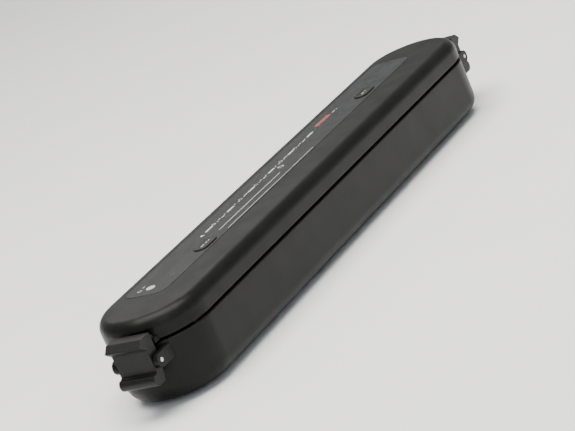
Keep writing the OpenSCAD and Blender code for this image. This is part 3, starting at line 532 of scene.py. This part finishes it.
# Piece, CAD node, edge radius in mm, slot, finish
ROUNDED = (
    ("housing_lower", "base_shell", 0.25, "housing_abs", abs_housing),
    ("housing_lid", "lid_shell", 0.25, "housing_abs", abs_housing),
    ("cover_bottom", "bottom_cover", 0.25, "cover_abs", abs_cover),
    ("deck", "sealing_deck", 0.25, "deck_abs", abs_deck),
    ("plate_inner", "lid_plate", 0.2, "deck_abs", abs_deck),
    ("nozzle", "suction_nozzle", 0.15, "deck_abs", abs_deck),
    ("foam_ring_lower", "lower_gasket", 0.8, "foam", foam),
    ("foam_ring_upper", "upper_gasket", 0.8, "foam", foam),
    ("heater_support", "heater_bar", 0.2, "phenolic_board", phenolic_tan),
    ("inlet_body", "mains_inlet", 0.25, "inlet_nylon", nylon_inlet),
    ("inlet_pins", "inlet_contacts", 0.35, "nickel_plate", plate_nickel),
    ("motor", "pump_motor", 0.3, "motor_steel", steel_motor),
    ("pump", "pump_head", 0.3, "pump_nylon", nylon_natural),
    ("hose", "air_hose", 0.3, "silicone_hose", silicone_milky),
    ("valve", "release_valve", 0.1, "valve_steel", steel_yoke),
    ("pressure_switch", "vacuum_switch", 0.3, "switch_nylon", nylon_cream),
    ("lid_contact_switch", "lid_switch", 0.2, "switch_phenolic", phenolic_switch),
    ("supply_board", "power_board", 0.2, "circuit_board", circuit_green),
    ("supply_transformer", "transformer", 0.3, "transformer_tape", winding_amber),
    ("supply_capacitor", "capacitor", 0.6, "capacitor_sleeve", sleeve_blue),
    ("screws_bottom", "bottom_screws", 0.15, "screw_steel", steel_screw),
    ("screws_lid", "lid_screws", 0.15, "screw_steel", steel_screw),
    ("feet", "rubber_feet", 0.4, "foot_rubber", rubber),
    ("press_strip", "press_bar", 0.25, "silicone_press", silicone_red),
    ("panel_face", "control_panel", 0.12, "panel_gloss", panel_black),
    ("click_switches", "button_switches", 0.2, "switch_metal", tin_switch),
    ("guides", "light_guides", 0.08, "clear_acrylic", lens_clear),
    ("lens_red", "red_lens_window", 0.15, "red_acrylic", lens_red),
    ("lens_status", "status_lens_window", 0.15, "clear_acrylic", lens_clear),
    ("lever_left", "latch_left", 0.35, "latch_abs", abs_latch),
    ("lever_right", "latch_right", 0.35, "latch_abs", abs_latch),
)
# Edges shorter than this, in mm, stay sharp
SHORTEST = {"control_panel": 0.6, "lid_plate": 0.25}
# Edges at these heights, in mm, stay sharp: another part lies against them
FLAT_AT = {"lid_shell": (42.6, 41.5), "lid_plate": (35.5,)}

for name, node, edge, slot_name, material in ROUNDED:
    piece = copy_of(node, name)
    round_edges(piece, edge, shortest=SHORTEST.get(node, 0), flat_at=FLAT_AT.get(node, ()))
    settle(piece, body_of_node[node], slot_name, material, node)


# ---------------------------------------------------------------- second finishes on one piece

def touch_up(name, material, test):
    """Gives the faces of a piece that pass the test, by their centres in mm, another finish."""
    mesh = bpy.data.objects[name].data
    mesh.materials.append(material)
    for face in mesh.polygons:
        if test(face.center / MM):
            face.material_index = len(mesh.materials) - 1


# The supply board: its pillars, terminal block, heat sink, relay and choke. Each limit lies in
# the gap beside a part, in mm from the board's left front corner, and heights are from the table.
board_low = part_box("power_board")[0] / MM
over_board, under_board = 8.72, 7.47
terminals_end, sink_start, sink_end, relay_start = 13, 18, 33, 50
sink_back, relay_back, choke_front = 8, 12.6, 12.8
touch_up("supply_board", nylon_black, lambda c: c.z < under_board)
touch_up(
    "supply_board", terminal_green,
    lambda c: c.z > over_board and c.x < board_low.x + terminals_end,
)
touch_up(
    "supply_board", heat_sink,
    lambda c: c.z > over_board and c.y < board_low.y + sink_back
    and board_low.x + sink_start < c.x < board_low.x + sink_end,
)
touch_up(
    "supply_board", nylon_black,
    lambda c: c.z > over_board and c.y < board_low.y + relay_back
    and c.x > board_low.x + relay_start,
)
touch_up(
    "supply_board", choke_copper,
    lambda c: c.z > over_board and c.y > board_low.y + choke_front
    and c.x > board_low.x + relay_start,
)

# The transformer's end plates, above and below its winding
transformer_low, transformer_high = (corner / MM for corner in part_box("transformer"))
end_plate = 2.05
touch_up(
    "supply_transformer", phenolic_switch,
    lambda c: c.z < transformer_low.z + end_plate or c.z > transformer_high.z - end_plate,
)

# The motor's end boss, the click switches' plungers and the terminals of the other switches.
# Each limit is just short of where the small part meets the main one.
motor_end_x = 17.9
plunger, lid_switch_legs, pressure_switch_blades = 0.25, 3.4, 3.9
touch_up("motor", plate_nickel, lambda c: c.x < motor_end_x)
touch_up(
    "click_switches", nylon_black,
    lambda c: c.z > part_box("button_switches")[1].z / MM - plunger,
)
touch_up(
    "lid_contact_switch", tin_switch,
    lambda c: c.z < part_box("lid_switch")[0].z / MM + lid_switch_legs,
)
touch_up(
    "pressure_switch", tin_switch,
    lambda c: c.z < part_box("vacuum_switch")[0].z / MM + pressure_switch_blades,
)


# ---------------------------------------------------------------- CAD nodes kept as they are

for node, material in (
    ("heater_element", ribbon_nichrome),
    ("heater_tape", tape_brown),
    ("hinge_pins", steel_pin),
    ("latch_pins", steel_pin_y),
    ("control_board", circuit_green),
):
    for spot in frame["nodes"][node].material_slots:
        spot.material = material


# ---------------------------------------------------------------- push buttons

flange_top_z = 41.3  # height in mm of the caps' retaining flanges, just under the lid's roof


def push_cap(name, node):
    """A button cap with a dished top, its retaining flange and the stem that meets its switch."""
    low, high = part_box(node)
    middle = (low + high) / 2
    flange_r, flange_h, lip, stem_r = 4.9, 0.6, 0.9, 2.2
    stem_h = (high.z - low.z) / MM
    draw_out = (high.x - low.x) / 2 / MM - flange_r
    flange_top = flange_top_z - high.z / MM
    bpy.ops.object.select_all(action="DESELECT")
    bpy.ops.mesh.primitive_cylinder_add(
        vertices=40, radius=flange_r, depth=flange_h, location=(0, 0, flange_top - flange_h / 2)
    )
    cap = bpy.context.object
    cap.name = name
    apply_place(cap)
    # The wall of the cap, its flat rim, then three rings that step down into the dish
    pick(cap, "faces", lambda f: f.normal.z > 0.9)
    bpy.ops.mesh.inset(thickness=lip)
    bpy.ops.mesh.extrude_region_move(TRANSFORM_OT_translate={"value": (0, 0, -flange_top)})
    for inward, drop in ((0.75, 0.0), (0.7, 0.1), (0.8, 0.09), (0.7, 0.04)):
        bpy.ops.mesh.inset(thickness=inward)
        bpy.ops.transform.translate(value=(0, 0, -drop))
    leave_edit()
    # The stem
    pick(cap, "faces", lambda f: f.normal.z < -0.9)
    bpy.ops.mesh.inset(thickness=flange_r - stem_r)
    bpy.ops.mesh.extrude_region_move(
        TRANSFORM_OT_translate={"value": (0, 0, -stem_h - flange_top + flange_h)}
    )
    leave_edit()
    # Both ends move out to the cap's length, but the stem stays round
    for end in (-1, 1):
        pick(
            cap, "vertices",
            lambda v: end * v.co.x > 0.01 and (v.co.z > flange_top - flange_h - 0.01)
            and math.hypot(v.co.x, v.co.y) > (0 if v.co.z > flange_top - 0.01 else stem_r + 0.01),
        )
        bpy.ops.transform.translate(value=(end * draw_out, 0, 0))
        leave_edit()
    cap.data.transform(Matrix.Scale(MM, 4))
    round_edges(cap, 0.25, 3, angle=50)
    cap.data.transform(Matrix.Translation(Vector((middle.x, middle.y, high.z))))
    return cap


for name, node in (("cap_vacuum", "vacuum_button"), ("cap_seal", "seal_button")):
    settle(push_cap(name, node), node, "button_abs", abs_button, node)


# ---------------------------------------------------------------- print on the panel and buttons, and a painted highlight line along the panel's front edge

mark_thickness = 0.04
panel_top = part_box("control_panel")[1].z / MM


def flat_mark(name, width, length=0.0, sides=16, turn=0.0):
    """A flat white dot or dash at the origin: a disc, drawn out along X if it has a length. It serves the
    printed marks and the painted highlight line along the panel's front edge.
    """
    bpy.ops.object.select_all(action="DESELECT")
    bpy.ops.mesh.primitive_cylinder_add(
        vertices=sides, radius=width / 2 * MM, depth=mark_thickness * MM, rotation=(0, 0, turn)
    )
    mark = bpy.context.object
    mark.name = name
    apply_place(mark)
    for end in (-1, 1):
        pick(mark, "vertices", lambda v: end * v.co.x > 0.001 * width * MM)
        bpy.ops.transform.translate(value=(end * max(length - width, 0) / 2 * MM, 0, 0))
        leave_edit()
    round_edges(mark, 0.01, 1)
    return mark


def ring_mark(name, radius, line):
    """A printed ring at the origin."""
    bpy.ops.object.select_all(action="DESELECT")
    bpy.ops.mesh.primitive_torus_add(
        major_radius=radius * MM, minor_radius=line / 2 * MM, major_segments=32, minor_segments=8
    )
    ring = bpy.context.object
    ring.name = name
    ring.scale = (1, 1, mark_thickness / line)
    apply_place(ring)
    bpy.ops.object.shade_smooth()
    return ring


def place_marks(name, body, slot_name, z, plan):
    """Sets copies of the marks in a plan, (mark, x, y) each, on a surface at height z: white print, and on
    the panel also a painted highlight line.
    """
    copies = [own_copy(mark, name, (x * MM, y * MM, z * MM)) for mark, x, y in plan]
    piece = joined(name, copies)
    return settle(piece, body, slot_name, white_ink_and_highlight)


dot = flat_mark("mark_dot", 0.9)
tick = flat_mark("mark_tick", 0.55, 1.9)
dash = flat_mark("mark_dash", 0.6, 3.2)
pointer = flat_mark("mark_pointer", 3.0, sides=3, turn=math.pi / 2)
ring = ring_mark("mark_ring", 0.95, 0.4)
big_ring = ring_mark("mark_big_ring", 1.5, 0.55)
upper_line = flat_mark("mark_upper_line", 0.45, 64)
# A white line just inside the panel's front edge, where that edge catches the light: a painted highlight,
# not print
painted_edge_highlight = flat_mark("mark_lower_line", 0.35, 92)

# One group of small signs in each gap of the row of lights
guide_first, guide_step, guide_row = -70, 22, 10
sign_step, sign_stagger = 2.8, 0.35
# Printed marks on the panel, and the white line along its front edge, which is a painted highlight
panel_plan = [
    (pointer, -77.5, 9.6), (upper_line, -42, 1.6), (painted_edge_highlight, -28, -3.6),
    (big_ring, -1, 6), (dash, 70.5, 11), (dot, 74, 11), (ring, -133, 12.2), (tick, -129, 12.2),
]
for gap in range(5):
    middle = guide_first + guide_step * (gap + 0.5)
    signs = (ring, dot, tick, dash, dot) if gap % 2 == 0 else (dot, tick, ring, dot, dash)
    panel_plan += [
        (sign, middle + sign_step * (i - 2), guide_row + sign_stagger * (-1) ** i)
        for i, sign in enumerate(signs)
    ]
mark_sunk = 0.01  # how far the marks reach into the panel, so that no gap shows
panel_marks_z = panel_top + mark_thickness / 2 - mark_sunk
place_marks("panel_print", "lid", "panel_gloss", panel_marks_z, panel_plan)

cap_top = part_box("vacuum_button")[1].z / MM
ink_foot = 0.25  # depth of the ink's underside below the rim, just under the floor of the dish
cap_print_z = cap_top - ink_foot + mark_thickness / 2
button_left, button_right = (-89, 1), (91, 2)
place_marks(
    "cap_vacuum_print", "vacuum_button", "button_abs", cap_print_z,
    [(dash, button_left[0] - 2.4, button_left[1]), (tick, button_left[0] + 1.2, button_left[1]),
     (dot, button_left[0] + 3.6, button_left[1])],
)
place_marks(
    "cap_seal_print", "seal_button", "button_abs", cap_print_z,
    [(dash, button_right[0] - 1.4, button_right[1]), (dot, button_right[0] + 1.8, button_right[1])],
)
for mark in (dot, tick, dash, pointer, ring, big_ring, upper_line, painted_edge_highlight):
    bpy.data.objects.remove(mark)


# ---------------------------------------------------------------- latch springs

pin_x, pin_middle_y, pin_z = 172.8, -4, 26  # the latch pins, in mm


def torsion_spring(name, side):
    """A spring of round wire on a latch pin: close turns, one leg on the housing, one on the lever."""
    wire_radius, coil_radius, turns, pitch = 0.3, 1.45, 5.5, 0.64
    wire_sides, steps_per_turn = 10, 28
    housing_leg, lever_leg = 4.2, 0.8
    bpy.ops.object.select_all(action="DESELECT")
    bpy.ops.mesh.primitive_circle_add(
        vertices=wire_sides, radius=wire_radius * MM,
        location=(-coil_radius * MM, 0, 0), rotation=(math.pi / 2, 0, 0),
    )
    spring = bpy.context.object
    spring.name = name
    apply_place(spring)
    steps = int(steps_per_turn * turns)
    apply_modifier(
        spring, "SCREW", axis="Z", angle=2 * math.pi * turns, screw_offset=pitch * turns * MM,
        steps=steps, render_steps=steps, use_merge_vertices=True,
    )
    select_only(spring)
    bpy.ops.object.mode_set(mode="EDIT")
    bpy.ops.mesh.select_mode(type="VERT")
    bpy.ops.mesh.select_all(action="DESELECT")
    bpy.ops.mesh.select_non_manifold()
    bpy.ops.mesh.fill_holes(sides=0)
    bpy.ops.mesh.select_all(action="SELECT")
    bpy.ops.mesh.normals_make_consistent(inside=False)
    leave_edit()
    for end in (-1, 1):
        leg = housing_leg if end == -side else lever_leg
        pick(spring, "faces", lambda f: len(f.vertices) == wire_sides and f.center.x * end > 0)
        bpy.ops.mesh.extrude_region_move(TRANSFORM_OT_translate={"value": (0, -leg * MM, 0)})
        leave_edit()
    # The coil's axis turns from Z to Y, and its legs from -Y to -Z
    spring.rotation_euler = (math.pi / 2, 0, 0)
    apply_place(spring)
    spring.location = Vector((side * pin_x, pin_middle_y + turns * pitch / 2, pin_z)) * MM
    apply_place(spring)
    select_only(spring)
    bpy.ops.object.shade_smooth_by_angle(angle=SMOOTH_BELOW)
    return spring


springs = joined("springs", [torsion_spring("springs", -1), torsion_spring("spring_right", 1)])
settle(springs, "base", "spring_steel", steel_spring, "latch_springs")


# ---------------------------------------------------------------- wires and flat cable

def wire(name, points, radius):
    """A round insulated wire through these points, bent smoothly, as a closed mesh."""
    data = bpy.data.curves.new(name, "CURVE")
    data.dimensions = "3D"
    data.bevel_depth = radius * MM
    data.bevel_resolution = 4
    data.resolution_u = 10
    data.use_fill_caps = True
    line = data.splines.new("BEZIER")
    line.bezier_points.add(len(points) - 1)
    for knot, point in zip(line.bezier_points, points):
        knot.co = Vector(point) * MM
        knot.handle_left_type = knot.handle_right_type = "AUTO"
    piece = bpy.data.objects.new(name, data)
    bpy.context.scene.collection.objects.link(piece)
    select_only(piece)
    bpy.ops.object.convert(target="MESH")
    piece = bpy.context.object
    bpy.ops.object.mode_set(mode="EDIT")
    bpy.ops.mesh.select_all(action="SELECT")
    bpy.ops.mesh.remove_doubles(threshold=0.001 * MM)
    bpy.ops.mesh.normals_make_consistent(inside=False)
    leave_edit()
    bpy.ops.object.shade_smooth_by_angle(angle=math.radians(50))
    return piece


lead_ends = {-1: -117, 1: -38.5}  # X in mm where each lead ends, at the supply board
lead_radius = 0.8
leads = [
    wire(
        "heater_wires",
        [
            (side * 143, -17, 29.4), (side * 143, -17, 24), (side * 142.8, -17, 17),
            (side * 140, -17.1, 12.6), (side * 134, -17, 11.8), (side * 128, -16.9, 11.8),
            (lead_ends[side] + side * 8, -17.1, 11.9), (lead_ends[side] + side * 2, -17, 11.6),
            (lead_ends[side], -17, 11.2),
        ],
        lead_radius,
    )
    for side in (-1, 1)
]
settle(joined("heater_wires", leads), "base", "wire_silicone", wire_red, "heater_leads")


def flat_cable(name):
    """Eight moulded cores side by side, which cross from the base to the lid beside the hinge."""
    low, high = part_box("lid_harness")
    middle = (low + high) / 2
    cores, columns_per_core, rows = 8, 4, 24
    core_rise, web_thickness = 0.14, 0.45
    bpy.ops.object.select_all(action="DESELECT")
    bpy.ops.mesh.primitive_grid_add(
        x_subdivisions=cores * columns_per_core, y_subdivisions=rows, size=1, rotation=(math.pi / 2, 0, 0)
    )
    cable = bpy.context.object
    cable.name = name
    apply_place(cable)
    wide, tall = high.x - low.x, high.z - low.z
    cable.scale = (wide, 1, tall)
    apply_place(cable)
    for point in cable.data.vertices:
        across = (point.co.x / wide + 0.5) * cores
        point.co.y += core_rise * MM * abs(math.sin(math.pi * across))
    apply_modifier(cable, "SOLIDIFY", thickness=web_thickness * MM, offset=0)
    cable.location = middle
    apply_place(cable)
    select_only(cable)
    bpy.ops.object.shade_smooth_by_angle(angle=math.radians(50))
    return cable


cable = flat_cable("flat_cable")
cable.data.materials.append(ribbon_grey)
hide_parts("lid_harness")
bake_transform(cable)


# ---------------------------------------------------------------- floor, light and camera

def studio_bowl():
    """A wide pale floor whose rim curves up into a low wall, so that no horizon shows."""
    flat_radius, bend, steps, wall = 3.0, 1.2, 10, 1.2
    bpy.ops.object.select_all(action="DESELECT")
    bpy.ops.mesh.primitive_circle_add(vertices=96, radius=flat_radius, fill_type="NGON")
    bowl = bpy.context.object
    bowl.name = "studio_floor"
    bpy.ops.object.mode_set(mode="EDIT")
    bpy.ops.mesh.select_all(action="SELECT")
    for i in range(steps):
        low = math.pi / 2 * i / steps
        high = math.pi / 2 * (i + 1) / steps
        out = bend * (math.sin(high) - math.sin(low))
        rise = bend * (math.cos(low) - math.cos(high))
        radius = flat_radius + bend * math.sin(low)
        bpy.ops.mesh.select_mode(type="EDGE")
        bpy.ops.mesh.extrude_edges_move()
        bpy.ops.transform.translate(value=(0, 0, rise))
        grow = (radius + out) / radius
        bpy.ops.transform.resize(value=(grow, grow, 1))
    bpy.ops.mesh.extrude_edges_move()
    bpy.ops.transform.translate(value=(0, 0, wall))
    leave_edit()
    bpy.ops.object.shade_smooth_by_angle(angle=math.radians(30))
    material, tree, shader, place = start_finish("matt_white_paper", "#eceeef", 0.9)
    tones(tree, shader, place, 60, "#ebedee", "#edefef")
    bowl.data.materials.append(material)


def soft_light(name, centre, aim, size, power, tint):
    """A square soft box at centre, turned to face aim."""
    data = bpy.data.lights.new(name, "AREA")
    data.shape = "RECTANGLE"
    data.size, data.size_y = size
    data.energy = power
    data.color = colour(tint)[:3]
    light = bpy.data.objects.new(name, data)
    bpy.context.scene.collection.objects.link(light)
    light.location = centre
    facing = Vector(aim) - Vector(centre)
    light.rotation_euler = facing.to_track_quat("-Z", "Y").to_euler()


def add_camera(azimuth, elevation, roll, distance, target, lens):
    """A camera at that angle round the target; azimuth 0 looks along +Y."""
    a, e, r = (math.radians(x) for x in (azimuth, elevation, roll))
    out = Vector((math.sin(a) * math.cos(e), -math.cos(a) * math.cos(e), math.sin(e)))
    right = (-out).cross(Vector((0, 0, 1))).normalized()
    up = right.cross(-out)
    side = right * math.cos(r) + up * math.sin(r)
    top = up * math.cos(r) - right * math.sin(r)
    data = bpy.data.cameras.new("camera")
    data.lens = lens
    data.sensor_width = 36
    data.clip_start = 0.01
    data.clip_end = 50
    camera = bpy.data.objects.new("camera", data)
    bpy.context.scene.collection.objects.link(camera)
    turn = Matrix((side, top, out)).transposed().to_4x4()
    camera.matrix_world = Matrix.Translation(Vector(target) + out * distance) @ turn
    bpy.context.scene.camera = camera


studio_bowl()
soft_light("overhead", (-0.2, -0.1, 1.5), (0, 0, 0), (1.6, 1.2), 60, "#fffaf2")
soft_light("front_left", (-1.3, -1.2, 0.9), (0, 0, 0.02), (1.0, 0.8), 9, "#eef4ff")
soft_light("back_right", (1.1, 1.2, 1.1), (0, 0, 0.02), (1.0, 0.8), 4, "#fff9f0")
world = bpy.data.worlds.new("studio_air")
bpy.context.scene.world = world
world.use_nodes = True
background = world.node_tree.nodes["Background"]
background.inputs["Color"].default_value = colour("#eef0f2")
background.inputs["Strength"].default_value = 0.45
add_camera(
    azimuth=-54.68, elevation=16.02, roll=-23.36, distance=1.0829,
    target=(-0.0073, 0.0095, 0.0198), lens=136,
)
